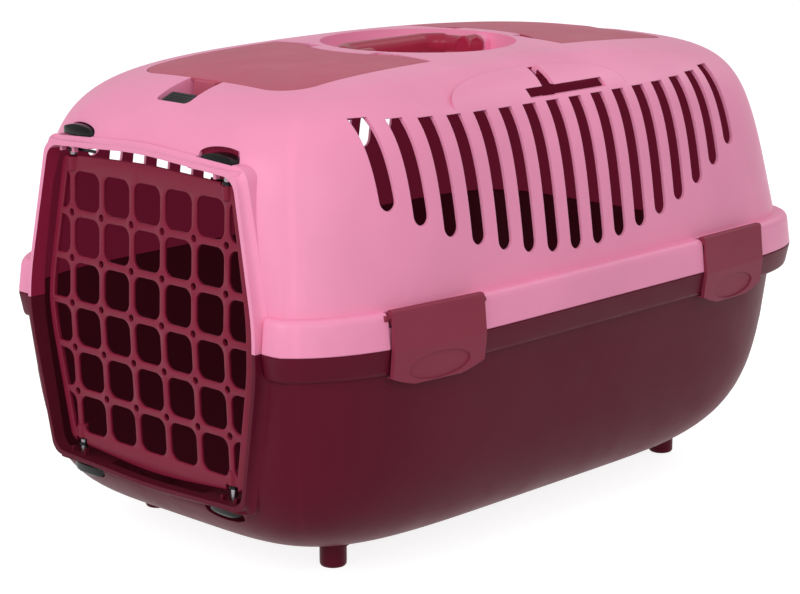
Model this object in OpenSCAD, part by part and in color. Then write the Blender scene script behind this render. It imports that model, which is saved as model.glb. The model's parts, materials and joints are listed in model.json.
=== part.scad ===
// Pet transport carrier: tub, ventilated hood, swinging grille door, folding
// roof handle, two storage lids and four side clips.
// Millimetres. +Z up, door faces -Y, origin under the middle at floor level.

/* [Body] */
// Half of the overall width, outside of the side clips
half_width = 185; // [160:1:210]
// Half of the overall length
half_length = 275; // [240:1:310]
// Height of the joint between tub and hood above the floor
part_z = 172; // [150:1:190]
// Overall height
top_z = 340; // [300:1:380]
// Height of the underside of the tub above the floor
tub_z = 11; // [6:1:20]
// Wall thickness of the two shells
wall = 2.4; // [2:0.1:4]
// Rim height above the joint
rim_up = 24; // [18:1:30]
// Rim height below the joint
rim_down = 18; // [12:1:24]

/* [Door] */
// Pitch of the grille in both directions
pitch = 32.2; // [28:0.1:36]
// Width of one grille window
window = 27; // [22:0.1:28]
// Corner radius of the windows
window_r = 7; // [4:0.5:10]
// Diameter of the small holes where the bars cross
node_hole = 5.2; // [3:0.1:7]
// Door thickness
door_t = 2.6; // [2.4:0.1:4]
// Distance of the hinge line from the middle
hinge_x = 80; // [70:0.5:88]
// Lean of the upper half of the door, degrees
lean_up = 2.4; // [0:0.1:4]
// Lean of the lower half of the door, degrees
lean_down = 2; // [0:0.1:4]

/* [Door bolts] */
// Bolt pin diameter
pin_d = 4.84; // [4:0.01:6]
// Bore the bolt pins run in
pin_bore = 5; // [4.1:0.01:6.2]
// Sliding travel of one bolt
bolt_travel = 3.2; // [3:0.1:4]
// Half length of the bolt cap
cap_half = 17; // [15:1:20]
// Depth of the bolt cap, front to back
cap_depth = 9; // [7:0.5:12]

/* [Vents] */
// Number of vent slots in each side
slots = 16; // [10:1:20]
// Distance from slot to slot
slot_pitch = 24.3; // [20:0.1:28]
// Width of one slot
slot_w = 13.4; // [6:0.1:14]
// Height of the upper slot ends
slot_top = 311; // [290:1:320]
// Height of the lower slot ends in the middle
slot_low = 208; // [200:1:240]

/* [Roof] */
// Radius of the round handle recess
bowl_r = 73; // [60:1:85]
// Depth of the handle recess
bowl_depth = 38; // [25:1:45]
// Distance of the handle grip from its pivot line
grip_off = 34; // [28:1:42]
// Thickness of the handle bar
bar_d = 16; // [12:0.5:18]
// Diameter of the handle pivots
handle_pin = 6; // [5:0.1:8]
// Depth of the storage trays below the lids
tray_depth = 24; // [15:1:30]
// Thickness of the storage lids
lid_t = 2.4; // [2:0.1:3]

/* [Clips] */
// Length of the front and of the rear clips
clip_lengths = [80, 72]; // [60:1:90]
// Distance of the front and of the rear clip centres from the middle
clip_places = [166, 152]; // [120:1:180]
// Diameter of the clip pivots
clip_pin = 4; // [3:0.1:5]

/* [Feet] */
// Foot diameter
foot_d = 19; // [14:1:25]
// Foot position across
foot_x = 93.7; // [80:0.1:105]
// Foot position along
foot_y = 183; // [160:1:200]

/* [Hidden] */
$fn = 48;
gap = 0.5;
seam = 0.2;
front_y = -265;
lip_y = -half_length;
bend_y = -266;
axis_y = -260.4;
rim_x = half_width - 2.5;
hood_h = top_z - part_z;
tub_h = part_z - tub_z;
collar_top = 291.5;
collar_t = 3;
knuckle_top = 275.6;
knuckle_low = 73;
shelf_top = 287.7;
shelf_low = 57.8;
shelf_t = 3;
cap_h = 7.5;
cap_x = 72;
cap_y = -260.8;
cap_rim = 2.2;
clip_axis_x = -7;
clip_axis_z = 192.6;
clip_faces = [181, 184.2];
clip_turns = [-5.45, 1.1];
pivot_z = 330;
lid_near = 71.5;
pocket_x = 16.5;
lid_half = 80;
lid_arc = 88;
lid_axis = 77;
ridge_x = 100;
ridge_z = 336.6;
shoulder_x = 140;
shoulder_drop = 23;
pad_x = 140;
pad_y = -19;
pad_half_x = 26;
pad_half_y = 90;
level_count = 9;
ring_count = 44;

pink = [0.93, 0.5, 0.67];
berry = [0.45, 0.12, 0.2];
black = [0.13, 0.13, 0.13];
steel = [0.6, 0.61, 0.63];

// ---- curves ----

function spow(v, e) = sign(v) * pow(abs(v), e);
function fall(s, m) = pow(max(1 - pow(s, m), 0), 1 / m);

// Superellipse point with its front cut flat, spaced closer in the corners
function ring_pt(t, nf, nr, a, bf, br, cut) =
    let (c = spow(cos(t), 0.65), s = spow(sin(t), 0.65), b = s > 0 ? br : bf,
        n = s > 0 ? nr : nf, m = pow(pow(abs(c), n) + pow(abs(s), n), 1 / n))
    [a * c / m, max(b * s / m, cut)];

function ring(nf, nr, a, bf, br, cut, count = ring_count) =
    [for (i = [0 : count - 1]) ring_pt(360 * (i + 0.5) / count, nf, nr, a, bf, br, cut)];

// Radius fraction of loft level i, from the wall in to the middle
function level_q(i) = i < level_count
    ? pow(cos(90 * i / level_count), 1 / 3)
    : 0.44 * (1 - (i - level_count + 1) / 4);
function level_s(i) = pow(1 - pow(level_q(i), 6), 1 / 6);

function hood_a(s, g) = (174 - g - 22 * s) * fall(s, 6);
function hood_f(s, g) = (284 - g - 20 * s) * fall(s, 7);
function hood_r(s, g) = (270.5 - g - 16 * s) * fall(s, 14);
function hood_n(s, y = -1) = y < 0 ? 5 - 0.8 * s : 7.2 - 2.35 * s;
function crown(x, y) = 1 - (y < 0 ? 0.05 : 0.089) * pow(y / 275, 2)
    - 0.035 * pow(x / 170, 2);
function hood_z(s, x, y, g) = part_z + (hood_h - g) * s * crown(x, y);

function tub_a(s, g) = (175 - g - 16 * s) * fall(s, 5.4);
function tub_f(s, g) = (284 - g - 16 * s) * fall(s, 6);
function tub_r(s, g) = (268 - g - 15 * s) * fall(s, 4.2);

// Level parameter of the roof at a point in plan, found by halving
function roof_fill(s, x, y, g) =
    let (n = hood_n(s, y), b = y < 0 ? hood_f(s, g) : hood_r(s, g))
    pow(abs(x) / hood_a(s, g), n) + pow(abs(y) / b, n);
function roof_s(x, y, g, lo = 0.5, hi = 1, k = 0) =
    k > 22 ? (lo + hi) / 2
    : let (m = (lo + hi) / 2)
      roof_fill(m, x, y, g) > 1 ? roof_s(x, y, g, lo, m, k + 1)
      : roof_s(x, y, g, m, hi, k + 1);
function roof(x, y, g = 0) = hood_z(roof_s(x, y, g), x, y, g);

// Points of a rounded corner at b between a and c
function corner(a, b, c, r, k = 6) =
    let (u = (a - b) / norm(a - b), v = (c - b) / norm(c - b),
        h = acos(u * v) / 2, w = (u + v) / norm(u + v),
        m = b + w * r / sin(h), p = b + u * r / tan(h) - m,
        sweep = (180 - 2 * h) * sign(u[0] * v[1] - u[1] * v[0]) * -1)
    [for (i = [0 : k]) let (t = sweep * i / k)
        m + [p[0] * cos(t) - p[1] * sin(t), p[0] * sin(t) + p[1] * cos(t)]];

function rounded(pts, rads, k = 6) = let (n = len(pts))
    [for (i = [0 : n - 1])
        each corner(pts[(i + n - 1) % n], pts[i], pts[(i + 1) % n], rads[i], k)];

function six(tx, tz, tc, mx, bx, bz, bc) = [[tx, tz], [0, tc], [-tx, tz],
    [-mx, part_z], [-bx, bz], [0, bc], [bx, bz], [mx, part_z]];

// Outline of the door frame, grown by g
function frame_line(g = 0) = rounded(
    six(98.5 + g, 286 + g, collar_top + g, 122 + g, 101 + g, 60 - g, 56 - g),
    [12, 400, 12, 150, 11, 500, 11, 150]);

function door_line(g = 0) = rounded(
    six(90 + g, 276.6 + g, 279.6 + g, 109 + g, 91 + g, 70 - g, 62.4 - g),
    [8, 400, 8, 150, 8, 400, 8, 150]);

// ---- helpers ----

// Closed solid from stacked rings of equal length, closed by one tip point
module stack(rows, tip) {
    n = len(rows[0]);
    m = len(rows);
    pts = concat([for (r = rows) each r], [tip]);
    base = [for (i = [0 : n - 1]) i];
    sides = [for (j = [0 : m - 2], i = [0 : n - 1]) each
        let (a = j * n + i, b = j * n + (i + 1) % n)
        [[a, b + n, b], [a, a + n, b + n]]];
    cap = [for (i = [0 : n - 1]) let (q = (m - 1) * n)
        [q + i, m * n, q + (i + 1) % n]];
    polyhedron(pts, concat([base], sides, cap));
}

module hood_solid(g) {
    rows = [for (i = [0 : level_count + 2]) let (s = level_s(i),
        r = ring(hood_n(s), hood_n(s, 1), hood_a(s, g), hood_f(s, g), hood_r(s, g), front_y + g))
        [for (p = r) [p[0], p[1], hood_z(s, p[0], p[1], g)]]];
    stack(rows, [0, 0, top_z - g]);
}

// Raised pad around the seat belt guide, in plan
module belt_pad(g) {
    polygon([for (i = [0 : 40]) let (t = 9 * i)
        [pad_x + (pad_half_x + g) * cos(t), pad_y + (pad_half_y + g) * sin(t)]]);
}

// What the flat shoulders take off both sides of the hood
module shoulder_cut(g) {
    slope = atan2(shoulder_drop, shoulder_x - ridge_x);
    for (sx = [0, 1]) mirror([sx, 0, 0]) difference() {
        translate([ridge_x, 0, ridge_z - g]) rotate([0, slope, 0])
            box([-30, -200, 0], [90, 200, 40]);
        translate([0, 0, 200]) linear_extrude(200) belt_pad(-g);
    }
}

// Hood skin at depth g below the outside
module hood_form(g) {
    difference() {
        hood_solid(g);
        shoulder_cut(g);
    }
}

module tub_solid(g) {
    rows = [for (i = [0 : level_count + 2]) let (s = level_s(i),
        r = ring(5, 6, tub_a(s, g), tub_f(s, g), tub_r(s, g), front_y + g))
        [for (p = r) [p[0], p[1], (tub_h - g) * s]]];
    translate([0, 0, part_z - seam]) mirror([0, 0, 1]) stack(rows, [0, 0, tub_h - g]);
}

module rim_plate(z0, z1, g = 0) {
    translate([0, 0, z0]) linear_extrude(z1 - z0)
        polygon(ring(4.5, 7, rim_x - g, 290 - g, half_length - g, -271 + g));
}

// Solid with an outline in the XZ plane between two depths
module wall_xz(line, y0, y1) {
    translate([0, y1, 0]) rotate([90, 0, 0]) linear_extrude(y1 - y0) polygon(line);
}

module box(lo, hi) {
    translate(lo) cube(hi - lo);
}

// Box given for the +X side, drawn on side sx
module side_box(sx, lo, hi) {
    box([min(sx * lo[0], sx * hi[0]), lo[1], lo[2]], [max(sx * lo[0], sx * hi[0]), hi[1], hi[2]]);
}

module rod_y(x, y0, y1, z, d) {
    translate([x, y0, z]) rotate([-90, 0, 0]) cylinder(d = d, h = y1 - y0);
}

module rod_x(x0, x1, y, z, d) {
    translate([x0, y, z]) rotate([0, 90, 0]) cylinder(d = d, h = x1 - x0);
}

// Rod along X given for the +X side, drawn on side sx
module side_rod_x(sx, x0, x1, y, z, d) {
    rod_x(min(sx * x0, sx * x1), max(sx * x0, sx * x1), y, z, d);
}

// Everything in front of the leaning front face of the frame
module front_trim() {
    translate([0, lip_y, part_z]) rotate([-lean_up, 0, 0])
        box([-200, -40, -2], [200, 0, 200]);
    translate([0, lip_y, part_z]) rotate([lean_down, 0, 0])
        box([-200, -40, -200], [200, 0, 2]);
}

module collar(z0, z1) {
    difference() {
        intersection() {
            wall_xz(frame_line(0), -280, -252);
            box([-200, -280, z0], [200, -200, z1]);
        }
        front_trim();
    }
}

module doorway() {
    wall_xz(frame_line(-collar_t), -290, -245);
}

// Plan outline of a bolt cap, or of its pocket with a straight open front
module lens(grow, front) {
    a = cap_half + grow;
    b = cap_depth + grow;
    polygon(concat([for (i = [0 : 20]) let (t = 9 * i) [a * cos(t), b * sin(t)]],
        front > 0 ? [for (i = [1 : 19]) let (t = 9 * i) [-a * cos(t), -front * sin(t)]]
        : [[-a, front], [a, front]]));
}

// Domed block on a lens, its flat side at z and its dome on side sz
module lens_at(sx, sz, z, h, grow, front) {
    a = cap_half + grow;
    intersection() {
        translate([sx * cap_x, cap_y, sz > 0 ? z : z - h]) linear_extrude(h) lens(grow, front);
        translate([sx * cap_x, 0, z]) mirror([0, 0, sz > 0 ? 0 : 1])
            wall_xz(concat([[a, 0], [a, h - cap_h + cap_rim]],
                [for (i = [1 : 19]) let (t = 9 * i)
                    [a * cos(t), h - cap_h + cap_rim + (cap_h - cap_rim) * sin(t)]],
                [[-a, h - cap_h + cap_rim], [-a, 0]]), -280, -240);
    }
}

// Room in the shell for a bolt cap over its whole travel
module cap_pocket(sx, sz, z) {
    lens_at(sx, sz, z, cap_h + bolt_travel + 1, 0.6, -4);
}

// Ledge under the bolt caps with a rounded outer ear, and the pin guide ribs
module bolt_ledge(z0, z1, r0, r1) {
    for (sx = [-1, 1]) {
        side_box(sx, [50, -270, z0], [92, -252, z1]);
        translate([sx * 92, -263, z0]) cylinder(r = 7, h = z1 - z0);
        side_box(sx, [hinge_x + 5.4, -266, r0], [hinge_x + 8, -262.4, r1]);
        side_box(sx, [hinge_x - 8, -266, r0], [hinge_x - 5.4, -262.4, r1]);
    }
}

module bolt_bores(z0, z1) {
    for (sx = [-1, 1])
        translate([sx * hinge_x, axis_y, z0]) cylinder(d = pin_bore, h = z1 - z0);
}

// Gap the front of the rim leaves for the door frame
module rim_gap() {
    box([-121, -300, 120], [121, -240, 220]);
}

function end_of(sy) = sy < 0 ? 0 : 1;

// Frame of one clip: X = 0 on its outer face, Y along it
module at_clip(sx, sy) {
    e = end_of(sy);
    mirror([sx > 0 ? 0 : 1, 0, 0])
        translate([clip_faces[e], sy * clip_places[e], 0])
            rotate([0, 0, clip_turns[e]]) children();
}

module clip_cut(x0, z0, z1) {
    for (sx = [-1, 1], sy = [-1, 1]) at_clip(sx, sy) {
        w = clip_lengths[end_of(sy)] / 2 + gap;
        box([x0, -w, z0], [20, w, z1]);
    }
}

// ---- tub ----

module lower_shell() {
    low = part_z - rim_down;
    color(berry) difference() {
        union() {
            difference() {
                union() {
                    tub_solid(0);
                    difference() {
                        rim_plate(low, part_z - seam);
                        rim_gap();
                    }
                    collar(40, part_z - seam);
                }
                tub_solid(wall);
                difference() {
                    rim_plate(low + wall, part_z + 1, wall);
                    tub_solid(0);
                    box([-126, -300, 120], [126, -240, 220]);
                }
            }
            difference() {
                bolt_ledge(shelf_low, shelf_low + shelf_t, 60, 66);
                front_trim();
            }
            intersection() {
                tub_solid(0);
                for (sx = [-1, 1])
                    side_box(sx, [cap_x - 22, -266, 40], [cap_x + 22, -246, shelf_low + shelf_t]);
            }
            for (sx = [-1, 1], sy = [-1, 1])
                translate([sx * foot_x, sy * foot_y, 16])
                    cylinder(d = foot_d + 5, h = 12);
        }
        difference() {
            doorway();
            bolt_ledge(50, shelf_low + shelf_t, 60, 66);
        }
        clip_cut(-6.2, 140, 180);
        bolt_bores(40, 66);
        for (sx = [-1, 1]) cap_pocket(sx, -1, shelf_low);
        for (sx = [-1, 1], sy = [-1, 1])
            translate([sx * foot_x, sy * foot_y, 0])
                cylinder(d = foot_d + 0.1, h = 25);
    }
}

// Push-in foot
module foot(sx, sy) {
    color(berry) translate([sx * foot_x, sy * foot_y, 0]) {
        cylinder(d1 = foot_d - 2, d2 = foot_d, h = 1.5);
        translate([0, 0, 1.5]) cylinder(d = foot_d, h = 23.3);
    }
}

// ---- hood ----

// Plan outline of a storage lid grown by g, for the front lid
function lid_far(sy) = sy < 0 ? 206 : 196;
function pocket_far(sy) = lid_far(sy) + 33;

function lid_line(sy, g = 0) = let (
    half = asin((lid_near - g) / (lid_arc + g)),
    a = 90 - half, x = lid_half + g, y = -lid_far(sy) - g, r = sy < 0 ? 26 : 17)
    concat(
        [[x, g - lid_near]],
        [for (i = [0 : 12]) let (t = 270 + a - 2 * a * i / 12)
            [(lid_arc - g) * cos(t), min((lid_arc - g) * sin(t), g - lid_near)]],
        [[-x, g - lid_near]],
        corner([-x, 0], [-x, y], [0, y], r),
        corner([0, y], [x, y], [x, 0], r));

module lid_prism(sy, g, z0, z1) {
    mirror([0, sy > 0 ? 1 : 0, 0]) translate([0, 0, z0]) linear_extrude(z1 - z0)
        polygon(lid_line(sy, g));
}

lid_z = roof(lid_half, -lid_axis) - 2.8;

// Storage tray, its lid seat, catch pocket and hinge ears: the added material
module tray_body(sy) {
    floor_z = 330 - tray_depth;
    intersection() {
        hood_solid(0);
        union() {
            lid_prism(sy, 3, floor_z, top_z + 5);
            mirror([0, sy > 0 ? 1 : 0, 0])
                box([-pocket_x - 3, -pocket_far(sy) - 3, 303], [pocket_x + 3, -190, 345]);
            for (sx = [-1, 1])
                side_box(sx, [lid_half, sy * lid_axis - 6, lid_z - 6],
                    [lid_half + 8, sy * lid_axis + 6, 345]);
        }
    }
}

module ring_wall(r0, r1, z0, z1) {
    translate([0, 0, z0]) rotate_extrude($fn = 96) translate([r0, 0]) square([r1 - r0, z1 - z0]);
}

// Room around the near edge of the rear lid as it swings up
module lid_swing_cut() {
    rod_end = 42;
    arc_end = 32;
    brim = lid_z - 0.7;
    for (sx = [-1, 1]) {
        side_box(sx, [rod_end, lid_near - 1.9, 326], [lid_half + gap, lid_axis + 9, 350]);
        side_box(sx, [arc_end - 3, lid_near - 0.2, brim], [rod_end + 1, lid_axis + 7, 350]);
    }
    intersection() {
        ring_wall(lid_arc - 1.3, lid_arc + 1, brim, 350);
        box([-arc_end, lid_near - 1.5, 320], [arc_end, lid_arc + 4, 350]);
    }
}

module tray_cut(sy) {
    floor_z = 330 - tray_depth;
    lid_prism(sy, -4, floor_z + 2, top_z + 10);
    difference() {
        lid_prism(sy, gap, 300, top_z + 10);
        hood_solid(wall);
    }
    mirror([0, sy > 0 ? 1 : 0, 0])
        box([-pocket_x, -pocket_far(sy), 306], [pocket_x, 2 - lid_far(sy), 350]);
    mirror([0, sy > 0 ? 0 : 1, 0]) lid_swing_cut();
    rod_x(-lid_half - 5, lid_half + 5, sy * lid_axis, lid_z, 3.1);
}

module bowl_cut() {
    translate([0, 0, top_z - bowl_depth]) rotate_extrude($fn = 72)
        polygon([[0, 0], [bowl_r - 22, 0], [bowl_r - 12, 4], [bowl_r - 5, 12],
            [bowl_r - 2, 22], [bowl_r, 50], [0, 50]]);
}

module bowl_body() {
    intersection() {
        hood_solid(0);
        translate([0, 0, top_z - bowl_depth - wall]) cylinder(r = bowl_r + wall, h = 60, $fn = 72);
    }
}

// Ears in the handle recess that carry the handle pivots
module handle_ears() {
    for (sy = [-1, 1]) difference() {
        intersection() {
            box([-8, min(sy * 65, sy * 75), pivot_z - 14], [8, max(sy * 65, sy * 75), pivot_z + 7]);
            cylinder(r = bowl_r + 1, h = 400, $fn = 72);
        }
        rod_y(0, -80, 80, pivot_z, handle_pin + 0.12);
    }
}

// Place of a vent slot along the side, its upper and its lower end
function slot_y(k) = slot_pitch * k - 2.6 - (k < 0 ? 0.045 : 0.09) * k * k;
function slot_high(k) = slot_top + 5 * pow(k / 7.5, 4);
function slot_bottom(k) = slot_low + 0.0015 * pow(slot_pitch * k, 2) + slot_w / 2;

module vents() {
    for (i = [0 : slots - 1], sx = [-1, 1]) {
        k = i - (slots - 1) / 2;
        y = slot_y(k);
        low = slot_bottom(k);
        side_box(sx, [90, y - slot_w / 2, low], [190, y + slot_w / 2, slot_high(k)]);
        translate([sx * 140, y, low]) rotate([0, 90, 0])
            cylinder(d = slot_w, h = 90, center = true, $fn = 24);
    }
}

// Seat belt slots with the leaning necks that let the belt in
module belt_slots() {
    for (sx = [-1, 1]) {
        side_box(sx, [118, -34, 313.8], [170, 48, 319.8]);
        mirror([sx > 0 ? 0 : 1, 0, 0]) translate([112, 0, 0]) rotate([90, 0, 90])
            linear_extrude(38) polygon([[-19, 313.8], [-5, 313.8], [4.7, 345], [-6.1, 345]]);
    }
}

// Short walls that carry the clip pivots inside the rim
module clip_cheeks() {
    for (sx = [-1, 1], sy = [-1, 1]) at_clip(sx, sy) {
        w = clip_lengths[end_of(sy)] / 2 + gap;
        for (y = [-w - 4, w])
            box([-14.5, y, part_z + 12], [-4.2, y + 4, part_z + rim_up - 1]);
    }
}

module clip_bores() {
    for (sx = [-1, 1], sy = [-1, 1]) at_clip(sx, sy) {
        w = clip_lengths[end_of(sy)] / 2 + gap + 4;
        rod_y(clip_axis_x, -w, w, clip_axis_z, clip_pin + 0.12);
    }
}

module upper_shell() {
    high = part_z + rim_up;
    color(pink) difference() {
        union() {
            difference() {
                union() {
                    hood_form(0);
                    difference() {
                        rim_plate(part_z, high);
                        rim_gap();
                    }
                    collar(part_z, 300);
                }
                hood_form(wall);
                difference() {
                    rim_plate(part_z - 1, high - wall, wall);
                    hood_solid(0);
                    box([-126, -300, 120], [126, -240, 220]);
                }
                clip_cut(-6.2, part_z - 5, 220);
                clip_cut(-12.9, part_z + 14, 220);
            }
            clip_cheeks();
            difference() {
                bolt_ledge(shelf_top - shelf_t, shelf_top, 279.5, 286);
                front_trim();
            }
            intersection() {
                hood_solid(0);
                for (sx = [-1, 1])
                    side_box(sx, [cap_x - 22, -266, shelf_top - shelf_t], [cap_x + 22, -246, 306]);
            }
            bowl_body();
            for (sy = [-1, 1]) tray_body(sy);
        }
        difference() {
            doorway();
            bolt_ledge(shelf_top - shelf_t, shelf_top, 279.5, 286);
        }
        difference() {
            bowl_cut();
            handle_ears();
        }
        for (sy = [-1, 1]) tray_cut(sy);
        clip_bores();
        vents();
        belt_slots();
        bolt_bores(276, 300);
        for (sx = [-1, 1]) cap_pocket(sx, 1, shelf_top);
    }
}

// ---- door ----

module window_line(x, z) {
    h = window / 2;
    polygon(rounded([[x + h, z + h], [x - h, z + h], [x - h, z - h], [x + h, z - h]],
        [window_r, window_r, window_r, window_r], 4));
}

// One flat half of the grille with its bend line on the X axis
module door_half(side) {
    difference() {
        intersection() {
            translate([0, 0, -part_z]) wall_xz(door_line(0), 0, door_t);
            box([-200, -1, side > 0 ? 0 : -200], [200, 20, side > 0 ? 200 : 0]);
        }
        intersection() {
            translate([0, 10, 0]) rotate([90, 0, 0]) linear_extrude(20)
                for (i = [-3 : 3], k = [0 : 2])
                    window_line(i * pitch, side * (k + 0.5) * pitch);
            translate([0, 0, -part_z]) wall_xz(door_line(-5.5), -20, 20);
        }
    }
}

module door() {
    color(berry) difference() {
        union() {
            translate([0, bend_y, part_z]) {
                rotate([-lean_up, 0, 0]) door_half(1);
                rotate([lean_down, 0, 0]) door_half(-1);
            }
            for (sx = [-1, 1]) {
                translate([sx * hinge_x, axis_y, knuckle_top - 10]) cylinder(d = 7.8, h = 10);
                translate([sx * hinge_x, axis_y, knuckle_low]) cylinder(d = 7.8, h = 10);
            }
        }
        for (sx = [-1, 1]) {
            translate([sx * hinge_x, axis_y, knuckle_top - 5]) cylinder(d = pin_bore, h = 9);
            translate([sx * hinge_x, axis_y, knuckle_low - 4]) cylinder(d = pin_bore, h = 9);
            side_box(sx, [hinge_x - 6, -270, 60], [hinge_x + 6, -250, knuckle_low]);
            side_box(sx, [hinge_x - 6, -270, knuckle_top], [hinge_x + 6, -250, 290]);
        }
        for (i = [-2.5 : 2.5], k = [-2 : 2])
            translate([i * pitch, -250, part_z + k * pitch]) rotate([90, 0, 0])
                cylinder(d = node_hole, h = 30, $fn = 20);
    }
}

// ---- bolts: the right pair is engaged, the left pair is drawn back ----

function drawn(sx) = sx < 0 ? bolt_travel : 0;

module bolt_cap(sx, sz) {
    z0 = sz > 0 ? shelf_top + 0.3 : shelf_low - 0.3 - cap_h;
    color(black) translate([0, 0, sz * drawn(sx)]) {
        difference() {
            lens_at(sx, sz, sz > 0 ? z0 : z0 + cap_h, cap_h, 0, 3.4);
            translate([sx * hinge_x, axis_y, sz > 0 ? z0 - 1 : z0 + cap_h - 5])
                cylinder(d = pin_d, h = 6);
        }
    }
}

module bolt_spring(sx, sz) {
    hub = sz > 0 ? 276 : 70.6;
    color(black) translate([0, 0, sz * drawn(sx)]) difference() {
        union() {
            translate([sx * hinge_x, axis_y, hub]) cylinder(d = 7.4, h = 2);
            side_box(sx, [hinge_x - 20, -257.6, hub], [hinge_x, -256.4, hub + 2]);
        }
        translate([sx * hinge_x, axis_y, hub - 1]) cylinder(d = pin_d, h = 5);
    }
}

module bolt_pin(sx, sz) {
    z0 = sz > 0 ? 273.2 : shelf_low - 5.3;
    z1 = sz > 0 ? shelf_top + 5.3 : 75.4;
    color(steel) translate([sx * hinge_x, axis_y, z0 + sz * drawn(sx)])
        cylinder(d = pin_d, h = z1 - z0);
}

// ---- handle ----

module handle() {
    r = bar_d / 2;
    bend = 14;
    arm = 56;
    color(berry) {
        rod_y(-grip_off, -arm + bend, arm - bend, pivot_z, bar_d);
        for (sy = [-1, 1]) {
            rod_x(-grip_off + bend, 0, sy * arm, pivot_z, bar_d);
            translate([-grip_off + bend, sy * (arm - bend), pivot_z])
                rotate([0, 0, sy > 0 ? 90 : 180]) rotate_extrude(angle = 90)
                    translate([bend, 0]) circle(d = bar_d, $fn = 32);
            rod_y(0, min(sy * (arm - r), sy * (arm + r)), max(sy * (arm - r), sy * (arm + r)),
                pivot_z, bar_d);
            rod_y(0, min(sy * arm, sy * 71), max(sy * arm, sy * 71), pivot_z, handle_pin);
        }
    }
}

// ---- lids and catches ----

module lid(sy) {
    tip = -lid_far(sy);
    under = roof(0, sy * lid_far(sy)) - lid_t;
    color(berry) union() {
        intersection() {
            lid_prism(sy, 0, 300, top_z + 5);
            difference() {
                hood_solid(0);
                hood_solid(lid_t);
            }
        }
        mirror([0, sy > 0 ? 1 : 0, 0]) {
            box([-10.5, tip - 3.4, under - 14], [10.5, tip - 0.9, under + 1.2]);
            box([-10.5, tip - 6.4, under - 14], [10.5, tip - 3.3, under - 12]);
            box([-10.5, tip - 3.4, under - 1], [10.5, tip + 1.7, under + 1.2]);
            for (sx = [-1, 1]) {
                side_rod_x(sx, 63, lid_half, -lid_axis, lid_z, 4.6);
                side_rod_x(sx, 63, lid_half + 4, -lid_axis, lid_z, 3);
            }
        }
    }
}

module catch(sy) {
    end = pocket_far(sy) - 0.4;
    hook = roof(0, sy * lid_far(sy)) - lid_t - 12;
    deep = 12;
    color(black) mirror([0, sy > 0 ? 1 : 0, 0]) {
        box([-16.1, -end, 306.4], [16.1, 14.6 - end, 308.6]);
        rotate([90, 0, 90]) linear_extrude(26, center = true)
            polygon([[-end, 308.5], [deep - end, 308.5],
                [deep - end, roof(0, sy * (end - deep)) - 1.5], [-end, roof(0, sy * end) - 1.5]]);
        box([-5, deep - 0.1 - end, hook + 0.6], [5, 22.8 - end, hook + 2.4]);
    }
}

// ---- clips ----

// Cross section of a clip in X and Z
function clip_line() = [[-7.5, 198], [-3.6, 198], [-2.4, 196.6], [0, 171],
    [-2.6, 147.4], [-3.6, 145.9], [-5, 146.6], [-5, 150.2], [-8.6, 152.4], [-8.6, 153.3],
    [-5.5, 153.3], [-3.8, 171.4], [-3.8, 192.6], [-7.5, 192.6]];

// Side outline of a clip, Z against Y, with the arched thumb tab below
function tab_line(w) = concat([[-210, -w], [-210, w]],
    [for (i = [0 : 16]) let (t = 1 - i / 8) [-144 - 8.5 * t * t, w * t]]);

module clip(sx, sy) {
    w = clip_lengths[end_of(sy)] / 2;
    color(berry) at_clip(sx, sy) union() {
        intersection() {
            wall_xz(clip_line(), -w, w);
            rotate([0, 90, 0]) linear_extrude(60, center = true) polygon(tab_line(w));
        }
        rod_y(clip_axis_x, 1 - w, w - 1, clip_axis_z, 8.8);
        rod_y(clip_axis_x, -w - 3.6, w + 3.6, clip_axis_z, clip_pin);
    }
}

// ---- layout ----

lower_shell();
upper_shell();
door();
bolt_cap(-1, 1);  // bolt_cap_top_left
bolt_cap(1, 1);  // bolt_cap_top_right
bolt_cap(-1, -1);  // bolt_cap_bottom_left
bolt_cap(1, -1);  // bolt_cap_bottom_right
bolt_spring(-1, 1);  // bolt_spring_top_left
bolt_spring(1, 1);  // bolt_spring_top_right
bolt_spring(-1, -1);  // bolt_spring_bottom_left
bolt_spring(1, -1);  // bolt_spring_bottom_right
bolt_pin(-1, 1);  // bolt_pin_top_left
bolt_pin(1, 1);  // bolt_pin_top_right
bolt_pin(-1, -1);  // bolt_pin_bottom_left
bolt_pin(1, -1);  // bolt_pin_bottom_right
handle();
lid(-1);  // front_lid
lid(1);  // rear_lid
catch(-1);  // front_catch
catch(1);  // rear_catch
clip(-1, -1);  // clip_front_left
clip(1, -1);  // clip_front_right
clip(-1, 1);  // clip_rear_left
clip(1, 1);  // clip_rear_right
foot(-1, -1);  // foot_front_left
foot(1, -1);  // foot_front_right
foot(-1, 1);  // foot_rear_left
foot(1, 1);  // foot_rear_right
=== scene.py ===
import json
import math

import bmesh
import bpy
import numpy as np
from mathutils import Matrix, Vector


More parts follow.
